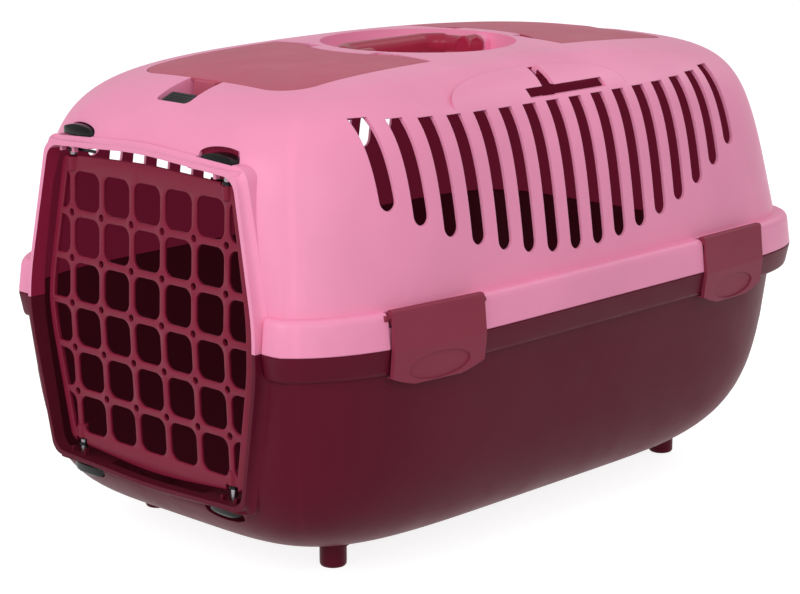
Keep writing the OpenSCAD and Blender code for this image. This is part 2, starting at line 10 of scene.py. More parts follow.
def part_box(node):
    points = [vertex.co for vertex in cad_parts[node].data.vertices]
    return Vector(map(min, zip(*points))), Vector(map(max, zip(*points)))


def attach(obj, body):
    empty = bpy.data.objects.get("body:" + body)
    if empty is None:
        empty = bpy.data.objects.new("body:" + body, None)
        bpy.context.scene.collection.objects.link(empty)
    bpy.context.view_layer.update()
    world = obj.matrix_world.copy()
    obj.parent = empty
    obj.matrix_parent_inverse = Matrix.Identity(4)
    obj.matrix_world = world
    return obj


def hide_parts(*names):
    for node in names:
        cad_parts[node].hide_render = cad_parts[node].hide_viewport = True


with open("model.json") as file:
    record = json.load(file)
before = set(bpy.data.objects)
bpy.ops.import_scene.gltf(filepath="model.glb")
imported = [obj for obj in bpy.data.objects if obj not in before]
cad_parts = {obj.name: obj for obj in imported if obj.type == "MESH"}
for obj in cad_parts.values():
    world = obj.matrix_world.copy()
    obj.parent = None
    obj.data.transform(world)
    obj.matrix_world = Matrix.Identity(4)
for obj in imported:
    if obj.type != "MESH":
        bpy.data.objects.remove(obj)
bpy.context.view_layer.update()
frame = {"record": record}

# ---------------------------------------------------------------- sizes, mm
MM = 0.001
WALL = 2.4
FRAME_T = 3.0
SEAM = 0.2
PART_Z = round(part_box("upper_shell")[0][2] / MM, 2)
TOP_Z = 340.0
TUB_LOW = 11.0
HOOD_H = TOP_Z - PART_Z
TUB_H = PART_Z - TUB_LOW
GAP = 0.5
FRONT_Y = -265.0
LIP_Y = -275.0
RIM_X = 182.5
RIM_TOP = PART_Z + 24.0
RIM_LOW = PART_Z - 18.0
LEAN_UP = math.radians(2.4)
LEAN_DOWN = math.radians(2.0)

RING = 260
LEVELS = 34

# door
PITCH = 32.2
WINDOW = 27.0
WINDOW_R = 7.0
NODE_HOLE = 5.2
DOOR_T = 2.6
DOOR_Y = -266.0
HINGE_X = 80.0
AXIS_Y = -260.4
BARREL_D = 7.8
BARREL_TOP = 275.6
BARREL_LOW = 73.0
BARREL_H = 10.0
PIN_D = 4.84
PIN_BORE = 5.0
TRAVEL = 3.2

# caps and ledges
CAP_X = 72.0
CAP_HALF = 17.0
CAP_DEPTH = 9.0
CAP_FRONT = 3.4
CAP_Y = -260.8
CAP_H = 7.5
CAP_RIM = 2.2
CAP_PLAY = 0.6
SHELF_TOP = 287.7
SHELF_LOW = 57.8
SHELF_T = 3.0
LEDGE_Y = -266.0
LEDGE_BACK = -246.0

# vents
SLOTS = 16
SLOT_PITCH = 24.3
SLOT_W = 13.4
SLOT_TOP = 311.0
SLOT_LOW = 208.0

# roof
BOWL_R = 73.0
BOWL_DEPTH = 38.0
GRIP_OFF = 34.0
BAR_D = 16.0
PIVOT_Z = 330.0
TRAY_DEPTH = 24.0
LID_T = 2.4
LID_NEAR = 71.5
LID_FAR = {-1: 206.0, 1: 196.0}
LID_ROUND = {-1: 26.0, 1: 17.0}
LID_HALF = 80.0
POCKET_X = 16.5
POCKET_LONG = 33.0
POCKET_Z = 306.0
LID_ROD = 4.6
LID_STUB = 3.0
LID_ARC = 88.0
LID_AXIS = 77.0
RIDGE_X = 100.0
RIDGE_Z = 336.6
SHOULDER_X = 140.0
SHOULDER_DROP = 23.0

# clips and feet
CLIP_LEN = {-1: 80.0, 1: 72.0}
CLIP_Y = {-1: 166.0, 1: 152.0}
CLIP_FACE = {-1: 181.0, 1: 184.2}
CLIP_TURN = {-1: math.radians(-5.45), 1: math.radians(1.1)}
CLIP_AXIS = (-7.0, 192.6)
FOOT_D = 19.0
FOOT_X = 93.7
FOOT_Y = 183.0


# ---------------------------------------------------------------- curves
def spow(v, e):
    return np.sign(v) * np.abs(v) ** e


def fall(s, m):
    return max(1 - s ** m, 0.0) ** (1 / m)


def ring(n_front, n_rear, a, front, rear, cut, count=RING):
    """Superellipse outline, evenly spaced, with its front cut flat."""
    t = 2 * np.pi * (np.arange(8 * count) + 0.5) / (8 * count)
    c, s = spow(np.cos(t), 0.65), spow(np.sin(t), 0.65)
    n = np.where(s > 0, n_rear, n_front)
    m = (np.abs(c) ** n + np.abs(s) ** n) ** (1 / n)
    b = np.where(s > 0, rear, front)
    x, y = a * c / m, np.maximum(b * s / m, cut)
    x, y = np.append(x, x[0]), np.append(y, y[0])
    run = np.concatenate([[0], np.cumsum(np.hypot(np.diff(x), np.diff(y)))])
    at = np.linspace(0, run[-1], count, endpoint=False)
    return np.column_stack([np.interp(at, run, x), np.interp(at, run, y)])


def level_list():
    q = [math.cos(math.pi / 2 * i / LEVELS) ** (1 / 3) for i in range(LEVELS - 3)]
    q += [q[-1] * (1 - (i + 1) / 9) for i in range(8)]
    return [(1 - v ** 6) ** (1 / 6) for v in q]


def crown(x, y):
    bow = np.where(y < 0, 0.05, 0.089)
    return 1 - bow * (y / 275) ** 2 - 0.035 * (x / 170) ** 2


def hood_plan(s, g):
    return (5 - 0.8 * s, 7.2 - 2.35 * s, (174 - g - 22 * s) * fall(s, 6),
            (284 - g - 20 * s) * fall(s, 7), (270.5 - g - 16 * s) * fall(s, 14))


def hood_rows(g):
    rows = []
    for s in level_list():
        p = ring(*hood_plan(s, g), FRONT_Y + g)
        z = PART_Z + (HOOD_H - g) * s * crown(p[:, 0], p[:, 1])
        rows.append(np.column_stack([p, z]))
    return rows


def tub_plan(s, g):
    return (5, 6, (175 - g - 16 * s) * fall(s, 5.4),
            (284 - g - 16 * s) * fall(s, 6), (268 - g - 15 * s) * fall(s, 4.2))


def tub_rows(g):
    rows = []
    for s in level_list():
        p = ring(*tub_plan(s, g), FRONT_Y + g)
        z = np.full(len(p), PART_Z - SEAM - (TUB_H - g) * s)
        rows.append(np.column_stack([p, z]))
    return rows


def beyond(x, y, plan):
    """Whether a point lies outside an outline of hood_plan or tub_plan."""
    n_front, n_rear, a, front, rear = plan
    n, b = (n_front, front) if y < 0 else (n_rear, rear)
    return a <= 0 or b <= 0 or (abs(x) / a) ** n + (abs(y) / b) ** n > 1


def roof(x, y, g=0.0):
    """Height of the hood's skin above a point in plan."""
    lo, hi = 0.3, 1.0
    for _ in range(24):
        m = (lo + hi) / 2
        lo, hi = (lo, m) if beyond(x, y, hood_plan(m, g)) else (m, hi)
    return PART_Z + (HOOD_H - g) * lo * float(crown(x, np.float64(y)))


def corner(a, b, c, r, k=8):
    """Points of a rounded corner at b, between a and c."""
    a, b, c = (np.asarray(p, float) for p in (a, b, c))
    u, v = (a - b) / np.linalg.norm(a - b), (c - b) / np.linalg.norm(c - b)
    half = math.acos(float(np.clip(u @ v, -1, 1))) / 2
    w = (u + v) / np.linalg.norm(u + v)
    mid = b + w * r / math.sin(half)
    p = b + u * r / math.tan(half) - mid
    turn = -np.sign(u[0] * v[1] - u[1] * v[0])
    out = []
    for i in range(k + 1):
        t = turn * (math.pi - 2 * half) * i / k
        out.append(mid + [p[0] * math.cos(t) - p[1] * math.sin(t),
                          p[0] * math.sin(t) + p[1] * math.cos(t)])
    return out


def rounded(points, radii, k=8):
    out = []
    for i, (p, r) in enumerate(zip(points, radii)):
        out += corner(points[i - 1], p, points[(i + 1) % len(points)], r, k)
    return np.array(out)


def six(tx, tz, tc, mx, bx, bz, bc):
    return [(tx, tz), (0, tc), (-tx, tz), (-mx, PART_Z),
            (-bx, bz), (0, bc), (bx, bz), (mx, PART_Z)]


def frame_line(g=0.0):
    return rounded(six(98.5 + g, 286 + g, 291.5 + g, 122 + g, 101 + g, 60 - g, 56 - g),
                   [12, 400, 12, 150, 11, 500, 11, 150])


def door_line(g=0.0):
    return rounded(six(90 + g, 276.6 + g, 279.6 + g, 109 + g, 91 + g, 70 - g, 62.4 - g),
                   [8, 400, 8, 150, 8, 400, 8, 150])


def circle(r, count=32, x=0.0, y=0.0):
    t = 2 * np.pi * np.arange(count) / count
    return np.column_stack([x + r * np.cos(t), y + r * np.sin(t)])


# ---------------------------------------------------------------- solids
def solid(verts, faces):
    mesh = bpy.data.meshes.new("solid")
    mesh.from_pydata([tuple(map(float, v)) for v in verts], [], faces)
    work = bmesh.new()
    work.from_mesh(mesh)
    bmesh.ops.remove_doubles(work, verts=work.verts, dist=1e-4)
    bmesh.ops.recalc_face_normals(work, faces=work.faces)
    work.to_mesh(mesh)
    work.free()
    obj = bpy.data.objects.new("solid", mesh)
    bpy.context.scene.collection.objects.link(obj)
    return obj


def loft(rows, tip=None):
    """Closed solid through rings of equal length; a tip point closes the end."""
    n, m = len(rows[0]), len(rows)
    verts = [p for r in rows for p in r]
    faces = [tuple(range(n))]
    for j in range(m - 1):
        for i in range(n):
            k = (i + 1) % n
            faces.append((j * n + i, j * n + k, (j + 1) * n + k, (j + 1) * n + i))
    top = [(m - 1) * n + i for i in range(n)]
    if tip is None:
        faces.append(tuple(top[::-1]))
    else:
        verts.append(tip)
        faces += [(top[i], top[(i + 1) % n], m * n) for i in range(n)]
    return solid(verts, faces)


def lift(line, z):
    return np.column_stack([line, np.full(len(line), float(z))])


def prism(line, z0, z1):
    return loft([lift(line, z0), lift(line, z1)])


def set_xz(line, y):
    line = np.asarray(line, float)
    return np.column_stack([line[:, 0], np.full(len(line), float(y)), line[:, 1]])


def wall_xz(line, y0, y1):
    return loft([set_xz(line, y0), set_xz(line, y1)])


def box(lo, hi):
    x = sorted((lo[0], hi[0]))
    y = sorted((lo[1], hi[1]))
    line = [(x[0], y[0]), (x[1], y[0]), (x[1], y[1]), (x[0], y[1])]
    return prism(np.array(line), min(lo[2], hi[2]), max(lo[2], hi[2]))


def side_box(sx, lo, hi):
    return box((sx * lo[0], lo[1], lo[2]), (sx * hi[0], hi[1], hi[2]))


def turn(obj, matrix):
    obj.data.transform(matrix)
    if matrix.determinant() < 0:
        obj.data.flip_normals()
    return obj


def rod(p, q, d, count=32, chamfer=0.0):
    """Round bar from p to q, with small chamfers on its ends."""
    p, q = Vector(p), Vector(q)
    length, c = (q - p).length, max(chamfer, 1e-3)
    steps = [(0, d / 2 - chamfer), (c, d / 2), (length - c, d / 2), (length, d / 2 - chamfer)]
    obj = loft([lift(circle(r, count), z) for z, r in steps])
    spin = Vector((0, 0, 1)).rotation_difference(q - p).to_matrix().to_4x4()
    return turn(obj, Matrix.Translation(p) @ spin)


def joined(objs):
    """One object holding several solids that don't touch."""
    first, rest = objs[0], objs[1:]
    work = bmesh.new()
    for o in objs:
        work.from_mesh(o.data)
    work.to_mesh(first.data)
    work.free()
    for o in rest:
        bpy.data.objects.remove(o)
    return first


def combine(obj, tool, how):
    mod = obj.modifiers.new("combine", "BOOLEAN")
    mod.operation = how
    mod.object = tool
    mod.solver = "MANIFOLD"
    graph = bpy.context.evaluated_depsgraph_get()
    mesh = bpy.data.meshes.new_from_object(obj.evaluated_get(graph))
    obj.modifiers.clear()
    obj.data = mesh
    bpy.data.objects.remove(tool)
    return obj


def add(obj, *tools):
    for t in tools:
        combine(obj, t, "UNION")
    return obj


def cut(obj, *tools):
    for t in tools:
        combine(obj, t, "DIFFERENCE")
    return obj


def keep(obj, tool):
    return combine(obj, tool, "INTERSECT")


def hood_solid(g):
    return loft(hood_rows(g), (0, 0, TOP_Z - g))


def tub_solid(g):
    return loft(tub_rows(g), (0, 0, PART_Z - SEAM - TUB_H + g))


# ---------------------------------------------------------------- shared parts of the shells
def rim_row(z, g):
    return lift(ring(4.5, 7, RIM_X - g, 290 - g, 275 - g, -271 + g), z)


def upper_rim():
    steps = [(PART_Z, 0.5), (PART_Z + 0.6, 0), (RIM_TOP - 5.2, 1.9), (RIM_TOP - 2.8, 2.5),
             (RIM_TOP - 1.2, 3.5), (RIM_TOP - 0.3, 4.9), (RIM_TOP, 6.6)]
    return loft([rim_row(z, g) for z, g in steps])


def lower_rim():
    top = PART_Z - SEAM
    steps = [(RIM_LOW, 5.4), (RIM_LOW + 0.5, 3.9), (RIM_LOW + 1.6, 2.9), (RIM_LOW + 3.2, 2.3),
             (top - 0.6, 0), (top, 0.5)]
    return loft([rim_row(z, g) for z, g in steps])


def rim_gap():
    return box((-121, -300, 120), (121, -240, 220))


def front_trims():
    """What leans the front of the door frame back, above and below the joint."""
    up = turn(box((-200, -40, -2), (200, 0, 200)), Matrix.Translation((0, LIP_Y, PART_Z))
              @ Matrix.Rotation(-LEAN_UP, 4, "X"))
    low = turn(box((-200, -40, -200), (200, 0, 2)), Matrix.Translation((0, LIP_Y, PART_Z))
               @ Matrix.Rotation(LEAN_DOWN, 4, "X"))
    return [up, low]


def collar(z0, z1):
    """Door frame that flares softly into the front of the shells."""
    steps = [(-280, 0), (-271.5, 0), (-269, 0.3), (-267, 1.0), (-265.6, 2.2),
             (-264.6, 3.8), (-252, 3.8)]
    obj = loft([set_xz(frame_line(g), y) for y, g in steps])
    keep(obj, box((-200, -290, z0), (200, -200, z1)))
    return cut(obj, *front_trims())


def doorway():
    return wall_xz(frame_line(-FRAME_T), -290, -245)


def lens(grow, front):
    """Plan of a bolt cap, or with a negative front of its pocket, open to the front."""
    t = np.pi * np.arange(29) / 28
    a, b = CAP_HALF + grow, CAP_DEPTH + grow
    back = np.column_stack([a * np.cos(t), b * np.sin(t)])
    if front < 0:
        return np.vstack([back, [[-a, front], [a, front]]])
    nose = np.column_stack([-a * np.cos(t[1:-1]), -front * np.sin(t[1:-1])])
    return np.vstack([back, nose])


def dome(sx, sz, z, h, a):
    """Domed outline in X and Z that limits a bolt cap or its pocket."""
    t = np.pi * np.arange(29) / 28
    rise = h - CAP_H + CAP_RIM + (CAP_H - CAP_RIM) * np.sin(t)
    line = np.vstack([[a, 0], np.column_stack([a * np.cos(t), rise]), [-a, 0]])
    return wall_xz(line * [1, sz] + [sx * CAP_X, z], -280, -240)


def cap_pocket(sx, sz, z):
    h = CAP_H + TRAVEL + 1
    obj = prism(lens(CAP_PLAY, -4) + [sx * CAP_X, CAP_Y], *sorted((z, z + sz * h)))
    return keep(obj, dome(sx, sz, z, h, CAP_HALF + CAP_PLAY))


def bolt_ledge(z0, z1, r0, r1):
    """Ledges under the bolt caps with rounded ears, and the pin guide ribs."""
    parts = []
    for sx in (-1, 1):
        ear = rounded([(50, -252), (50, -270), (99, -270), (99, -252)], [1, 3, 7, 4])
        ear = ear * [sx, 1]
        parts.append(prism(ear, z0, z1))
        for x in (HINGE_X - 8, HINGE_X + 5.4):
            parts.append(side_box(sx, (x, LEDGE_Y, r0), (x + 2.6, -262.4, r1)))
    return parts


def bolt_back(sx, z0, z1):
    """Solid behind a bolt cap, to be kept within the shell."""
    return side_box(sx, (CAP_X - 22, LEDGE_Y, z0), (CAP_X + 22, LEDGE_BACK, z1))


def bolt_bores(z0, z1):
    return joined([rod((sx * HINGE_X, AXIS_Y, z0), (sx * HINGE_X, AXIS_Y, z1), PIN_BORE)
                   for sx in (-1, 1)])


def at_clip(obj, sx, sy):
    """Moves a piece from a clip's own frame, with X = 0 on its outer face, to its place."""
    place = Matrix.Translation((CLIP_FACE[sy], sy * CLIP_Y[sy], 0))
    spin = Matrix.Rotation(CLIP_TURN[sy], 4, "Z")
    return turn(obj, Matrix.Diagonal((sx, 1, 1, 1)) @ place @ spin)


def clip_cut(x0, z0, z1):
    tools = []
    for sy in (-1, 1):
        w = CLIP_LEN[sy] / 2 + GAP
        tools += [at_clip(box((x0, -w, z0), (20, w, z1)), sx, sy) for sx in (-1, 1)]
    return joined(tools)


def foot_tool(d, z0, z1):
    return joined([rod((sx * FOOT_X, sy * FOOT_Y, z0), (sx * FOOT_X, sy * FOOT_Y, z1), d)
                   for sx in (-1, 1) for sy in (-1, 1)])


# ---------------------------------------------------------------- tub
def lower_shell():
    obj = tub_solid(0)
    add(obj, cut(lower_rim(), rim_gap()), collar(40, PART_Z - SEAM))
    cut(obj, tub_solid(WALL))
    hollow = loft([rim_row(RIM_LOW + WALL, WALL + 3.4), rim_row(RIM_LOW + 4.5, WALL + 2.3),
                   rim_row(PART_Z + 1, WALL)])
    cut(obj, cut(hollow, tub_solid(0), box((-126, -300, 120), (126, -240, 220))))
    for part in bolt_ledge(SHELF_LOW, SHELF_LOW + SHELF_T, 60, 66):
        add(obj, cut(part, *front_trims()))
    back = joined([bolt_back(sx, 40, SHELF_LOW + SHELF_T) for sx in (-1, 1)])
    add(obj, keep(back, tub_solid(0)), foot_tool(FOOT_D + 5, 16, 28))
    way = doorway()
    for part in bolt_ledge(50, SHELF_LOW + SHELF_T, 60, 66):
        cut(way, part)
    cut(obj, way, clip_cut(-6.2, 140, 180), bolt_bores(40, 66))
    cut(obj, *[cap_pocket(sx, -1, SHELF_LOW) for sx in (-1, 1)])
    return cut(obj, foot_tool(FOOT_D + 0.1, -1, 25))


# ---------------------------------------------------------------- hood
def pad_line(g):
    t = 2 * np.pi * np.arange(72) / 72
    return np.column_stack([140 + (26 + g) * np.cos(t), -19 + (90 + g) * np.sin(t)])


def shoulder_cut(g):
    """What the flat shoulders take off, leaving the raised seat belt pads."""
    tools = []
    slope = math.atan2(SHOULDER_DROP, SHOULDER_X - RIDGE_X)
    place = Matrix.Translation((RIDGE_X, 0, RIDGE_Z - g)) @ Matrix.Rotation(slope, 4, "Y")
    for sx in (1, -1):
        tool = turn(box((-30, -200, 0), (90, 200, 40)), place)
        cut(tool, prism(pad_line(-g), 200, 400))
        tools.append(turn(tool, Matrix.Diagonal((sx, 1, 1, 1))))
    return tools


def hood_form(g):
    return cut(hood_solid(g), *shoulder_cut(g))


def lid_line(sy, g=0.0):
    half = math.asin((LID_NEAR - g) / (LID_ARC + g))
    a = math.pi / 2 - half
    arc = [((LID_ARC - g) * math.cos(1.5 * math.pi + a - 2 * a * i / 24),
            min((LID_ARC - g) * math.sin(1.5 * math.pi + a - 2 * a * i / 24), g - LID_NEAR))
           for i in range(25)]
    x, y, r = LID_HALF + g, -LID_FAR[sy] - g, LID_ROUND[sy]
    return np.array([(x, g - LID_NEAR)] + arc + [(-x, g - LID_NEAR)]
                    + [tuple(p) for p in corner((-x, 0), (-x, y), (0, y), r, 12)]
                    + [tuple(p) for p in corner((0, y), (x, y), (x, 0), r, 12)])


def lid_prism(sy, g, z0, z1):
    return prism(lid_line(sy, g) * [1, -sy], z0, z1)


def lid_axis_z():
    return roof(LID_HALF, -LID_AXIS) - 2.8


def tray_body(sy):
    floor_z = 330 - TRAY_DEPTH
    obj = lid_prism(sy, 3, floor_z, TOP_Z + 5)
    w, far = POCKET_X + 3, LID_FAR[sy] + POCKET_LONG + 3
    add(obj, box((-w, sy * 190, POCKET_Z - 3), (w, sy * far, 345)))
    z = lid_axis_z()
    add(obj, *[side_box(sx, (LID_HALF - 1, sy * LID_AXIS - 6, z - 6),
                        (LID_HALF + 8, sy * LID_AXIS + 6, 345)) for sx in (-1, 1)])
    return keep(obj, hood_solid(0))


def tray_cut(sy):
    floor_z = 330 - TRAY_DEPTH
    seat = cut(lid_prism(sy, GAP, 300, TOP_Z + 10), hood_solid(WALL))
    w, near, far = POCKET_X, LID_FAR[sy] - 2, LID_FAR[sy] + POCKET_LONG
    pocket = rounded([(-w, near), (w, near), (w, far), (-w, far)], [0.5, 0.5, 4, 4]) * [1, sy]
    pivots = [side_box(sx, (42, sy * 69.6, 326), (LID_HALF + GAP, sy * 86, 350)) for sx in (-1, 1)]
    pivots += [side_box(sx, (29, sy * 71.3, 333.9), (43, sy * 84, 350)) for sx in (-1, 1)]
    edge = keep(prism(circle(LID_ARC + 1, 128), 333.9, 350),
                box((-32, sy * 70, 320), (32, sy * 92, 350)))
    pivots.append(cut(edge, prism(circle(LID_ARC - 1.3, 128), 320, 360)))
    z = lid_axis_z()
    bar = rod((-LID_HALF - 5, sy * LID_AXIS, z), (LID_HALF + 5, sy * LID_AXIS, z), LID_STUB + 0.1)
    return [lid_prism(sy, -4, floor_z + 2, TOP_Z + 10), seat, prism(pocket, POCKET_Z, 350),
            *pivots, bar]


def bowl_line():
    return [(BOWL_R - 22, 0), (BOWL_R - 12, 4), (BOWL_R - 5, 12), (BOWL_R - 2, 22),
            (BOWL_R - 0.6, 31), (BOWL_R - 0.2, 35), (BOWL_R, 50)]


def bowl_cut():
    z = TOP_Z - BOWL_DEPTH
    return loft([lift(circle(r, 128), z + h) for r, h in bowl_line()])


def handle_ears():
    parts = []
    for sy in (-1, 1):
        ear = rounded([(-8, PIVOT_Z - 14), (8, PIVOT_Z - 14), (8, PIVOT_Z + 7), (-8, PIVOT_Z + 7)],
                      [1, 1, 6, 6])
        part = keep(wall_xz(ear, sy * 65, sy * 75), prism(circle(BOWL_R + 1, 128), 0, 400))
        cut(part, rod((0, -80, PIVOT_Z), (0, 80, PIVOT_Z), 6.12))
        parts.append(part)
    return parts


def vents():
    tools = []
    for i in range(SLOTS):
        k = i - (SLOTS - 1) / 2
        y = SLOT_PITCH * k - 2.6 - (0.045 if k < 0 else 0.09) * k * k
        low = SLOT_LOW + 0.0015 * (SLOT_PITCH * k) ** 2 + SLOT_W / 2
        high = SLOT_TOP + 5 * (k / 7.5) ** 4
        w = SLOT_W / 2
        t = math.pi * np.arange(1, 12) / 12
        line = [(y + w, high), (y - w, high), (y - w, low)]
        line += [(y - w * math.cos(a), low - w * math.sin(a)) for a in t]
        line.append((y + w, low))
        for sx in (-1, 1):
            rows = [[(sx * x, p[0], p[1]) for p in line] for x in (90, 195)]
            tools.append(loft([np.array(r) for r in rows]))
    return joined(tools)


def belt_slots():
    tools = []
    for sx in (-1, 1):
        tools.append(side_box(sx, (118, -34, 313.8), (170, 48, 319.8)))
        neck = np.array([(-19, 313.4), (-5, 313.4), (4.7, 345), (-6.1, 345)])
        rows = [[(sx * x, p[0], p[1]) for p in neck] for x in (112, 150)]
        tools.append(loft([np.array(r) for r in rows]))
    return tools


def clip_cheeks():
    parts = []
    for sy in (-1, 1):
        w = CLIP_LEN[sy] / 2 + GAP
        for sx in (-1, 1):
            for se in (-1, 1):
                cheek = box((-14.5, se * w, PART_Z + 12), (-7, se * (w + 4), RIM_TOP - 2))
                parts.append(at_clip(cheek, sx, sy))
    return joined(parts)


def upper_shell():
    obj = hood_form(0)
    add(obj, cut(upper_rim(), rim_gap()), collar(PART_Z, 300))
    cut(obj, hood_form(WALL))
    hollow = loft([rim_row(PART_Z - 1, WALL), rim_row(RIM_TOP - 5.2, WALL + 1.9),
                   rim_row(RIM_TOP - WALL, WALL + 4)])
    cut(obj, cut(hollow, hood_solid(0), box((-126, -300, 120), (126, -240, 220))))
    cut(obj, clip_cut(-6.2, PART_Z - 5, 220), clip_cut(-12.9, PART_Z + 14, 220))
    add(obj, clip_cheeks())
    for part in bolt_ledge(SHELF_TOP - SHELF_T, SHELF_TOP, 279.5, 286):
        add(obj, cut(part, *front_trims()))
    back = joined([bolt_back(sx, SHELF_TOP - SHELF_T, 306) for sx in (-1, 1)])
    add(obj, keep(back, hood_solid(0)))
    bowl = prism(circle(BOWL_R + WALL, 128), TOP_Z - BOWL_DEPTH - WALL, TOP_Z + 20)
    add(obj, keep(bowl, hood_solid(0)))
    add(obj, tray_body(-1), tray_body(1))
    way = doorway()
    for part in bolt_ledge(SHELF_TOP - SHELF_T, SHELF_TOP, 279.5, 286):
        cut(way, part)
    cut(obj, way, cut(bowl_cut(), *handle_ears()))
    for sy in (-1, 1):
        cut(obj, *tray_cut(sy))
    cut(obj, vents(), *belt_slots(), bolt_bores(276, 300))
    return cut(obj, *[cap_pocket(sx, 1, SHELF_TOP) for sx in (-1, 1)])


# ---------------------------------------------------------------- door
def door_half(side):
    """One flat half of the grille, its bend line on the X axis."""
    shift = np.array([0, -PART_Z])
    b = 0.9
    rows = [(0, -b), (b * 0.3, -b * 0.3), (b, 0), (DOOR_T - b, 0),
            (DOOR_T - b * 0.3, -b * 0.3), (DOOR_T, -b)]
    obj = loft([set_xz(door_line(g) + shift, y) for y, g in rows])
    keep(obj, box((-200, -1, 0), (200, 20, side * 200)))
    limit = wall_xz(door_line(-5.5) + shift, -20, 20)
    holes = []
    flare = [(-1, 1.8), (0, 0.9), (b * 0.3, 0.27), (b, 0), (DOOR_T - b, 0),
             (DOOR_T - b * 0.3, 0.27), (DOOR_T, 0.9), (DOOR_T + 1, 1.8)]
    for i in range(-3, 4):
        for k in range(3):
            x, z, h = i * PITCH, side * (k + 0.5) * PITCH, WINDOW / 2
            line = [(x + h, z + h), (x - h, z + h), (x - h, z - h), (x + h, z - h)]
            rows = []
            for y, g in flare:
                e = h + g
                pts = [(x + e, z + e), (x - e, z + e), (x - e, z - e), (x + e, z - e)]
                rows.append(set_xz(rounded(pts, [WINDOW_R + g] * 4, 6), y))
            holes.append(loft(rows))
    cut(obj, keep(joined(holes), limit))
    return obj


def door():
    place = Matrix.Translation((0, DOOR_Y, PART_Z))
    obj = turn(door_half(1), place @ Matrix.Rotation(-LEAN_UP, 4, "X"))
    low = turn(door_half(-1), place @ Matrix.Rotation(LEAN_DOWN, 4, "X"))
    add(obj, low)
    for sx in (-1, 1):
        x = sx * HINGE_X
        for z in (BARREL_TOP - BARREL_H, BARREL_LOW):
            add(obj, rod((x, AXIS_Y, z), (x, AXIS_Y, z + BARREL_H), BARREL_D, 32, 0.5))
    tools = []
    for sx in (-1, 1):
        x = sx * HINGE_X
        tools += [rod((x, AXIS_Y, 271), (x, AXIS_Y, 281), PIN_BORE),
                  rod((x, AXIS_Y, 69), (x, AXIS_Y, 78), PIN_BORE)]
    spots = [(i * PITCH, PART_Z + k * PITCH) for i in np.arange(-2.5, 3) for k in range(-2, 3)]
    holes = joined([rod((x, -280, z), (x, -250, z), NODE_HOLE, 20) for x, z in spots])
    for sx in (-1, 1):
        for z0, z1 in ((60, BARREL_LOW), (BARREL_TOP, 290)):
            tools.append(side_box(sx, (HINGE_X - 6, -270, z0), (HINGE_X + 6, -250, z1)))
    return cut(obj, holes, *tools)


# ---------------------------------------------------------------- bolts
def drawn(sx, sz):
    return sz * (TRAVEL if sx < 0 else 0.0)


def bolt_cap(sx, sz):
    flat = (SHELF_TOP + 0.3 if sz > 0 else SHELF_LOW - 0.3) + drawn(sx, sz)
    steps = [(0, -0.5), (0.5, 0), (CAP_H - 2.2, 0), (CAP_H - 1, -0.6), (CAP_H, -1.8)]
    rows = [lift(lens(g, CAP_FRONT + g) + [sx * CAP_X, CAP_Y], flat + sz * h) for h, g in steps]
    obj = keep(loft(rows), dome(sx, sz, flat, CAP_H, CAP_HALF))
    x = sx * HINGE_X
    low, high = (flat - 1, flat + 5) if sz > 0 else (flat - 5, flat + 1)
    return cut(obj, rod((x, AXIS_Y, low), (x, AXIS_Y, high), PIN_D))


def bolt_spring(sx, sz):
    z = (276 if sz > 0 else 70.6) + drawn(sx, sz)
    x = sx * HINGE_X
    obj = rod((x, AXIS_Y, z), (x, AXIS_Y, z + 2), 7.4, 32, 0.3)
    leg = [(sx * (HINGE_X - 20 * t), -257) for t in (0, 1)]
    side = [(p[0], p[1] - 0.6) for p in leg] + [(p[0], p[1] + 0.6) for p in leg[::-1]]
    add(obj, prism(np.array(side), z, z + 2))
    return cut(obj, rod((x, AXIS_Y, z - 1), (x, AXIS_Y, z + 4), PIN_D))


def bolt_pin(sx, sz):
    z0, z1 = (273.2, SHELF_TOP + 5.3) if sz > 0 else (SHELF_LOW - 5.3, 75.4)
    x, d = sx * HINGE_X, drawn(sx, sz)
    return rod((x, AXIS_Y, z0 + d), (x, AXIS_Y, z1 + d), PIN_D, 32, 0.6)


# ---------------------------------------------------------------- handle
def tube(points, radii, count=28):
    points = [Vector(p) for p in points]
    rows = []
    for i, p in enumerate(points):
        ahead = points[min(i + 1, len(points) - 1)] - points[max(i - 1, 0)]
        spin = Vector((0, 0, 1)).rotation_difference(ahead).to_matrix()
        rows.append(np.array([p + spin @ Vector((c[0], c[1], 0)) for c in circle(radii[i], count)]))
    return loft(rows)


def handle():
    r, bend, arm = BAR_D / 2, 20.0, 56.0
    path = [Vector((r * 0.9, -arm, PIVOT_Z)), Vector((0, -arm, PIVOT_Z))]
    for i in range(13):
        a = math.pi / 2 * i / 12
        path.append(Vector((-GRIP_OFF + bend - bend * math.sin(a), -arm + bend - bend * math.cos(a),
                            PIVOT_Z)))
    half = path + [Vector((p.x, -p.y, p.z)) for p in reversed(path)]
    girth = [r - 1.6 if abs(p.y) > arm - 2 else r - 0.5 * min(1, abs(p.y) / arm) for p in half]
    obj = tube([half[0]] + half, [r - 3] + girth)
    for sy in (-1, 1):
        add(obj, rod((0, sy * 48, PIVOT_Z), (0, sy * 64, PIVOT_Z), 15.6, 32, 1.2))
        add(obj, rod((0, sy * 56, PIVOT_Z), (0, sy * 71, PIVOT_Z), 6))
    return obj


